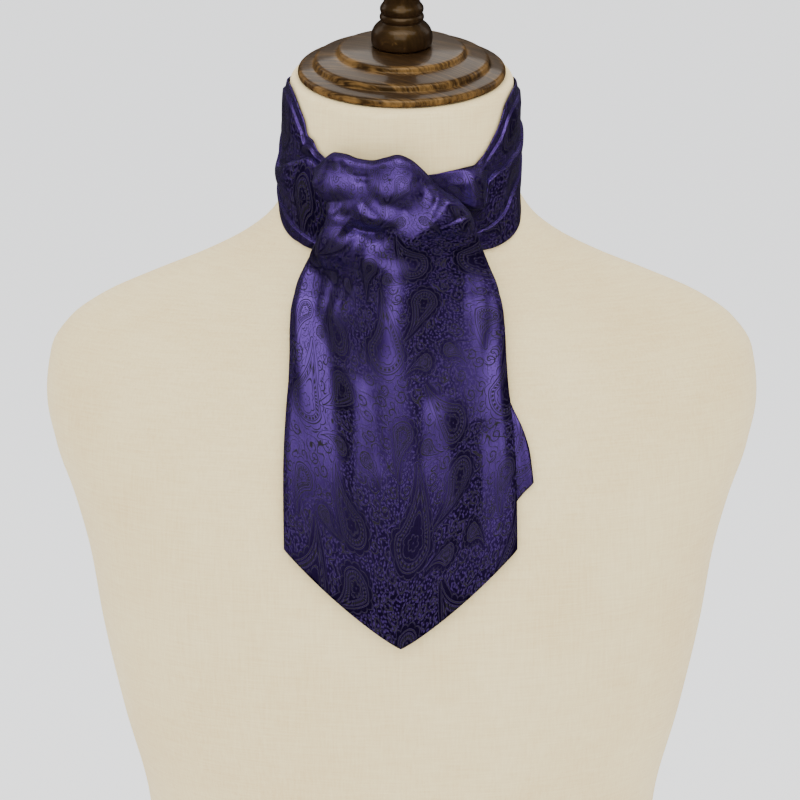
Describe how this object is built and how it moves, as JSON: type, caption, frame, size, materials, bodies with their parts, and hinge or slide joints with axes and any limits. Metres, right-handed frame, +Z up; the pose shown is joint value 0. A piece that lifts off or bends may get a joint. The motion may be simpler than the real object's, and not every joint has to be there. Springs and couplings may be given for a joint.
{
  "type": "ascot tie on a dress form",
  "caption": "Ascot tie in paisley jacquard, pleated round the neck of a limbless linen dress form with a turned wooden neck cap and finial.",
  "frame": {"origin": "on the flat foot of the dress form, straight under the middle of the neck's top", "axes": "+Z up along the form, -Y to the front of the form, +X to the wearer's left"},
  "size_m": [0.4034, 0.2291, 0.7658],
  "materials": {
    "purple_jacquard": "satin ground with a matte woven figure",
    "cream_linen": "matte plain weave",
    "stained_wood": "dark stain under gloss lacquer"
  },
  "bodies": {
    "root": {"form_body": "cream_linen", "neck_cap": "stained_wood", "finial": "stained_wood", "neck_band": "purple_jacquard", "fan_right": "purple_jacquard", "fan_left": "purple_jacquard", "under_blade": "purple_jacquard", "front_blade": "purple_jacquard"}
  },
  "joints": []
}
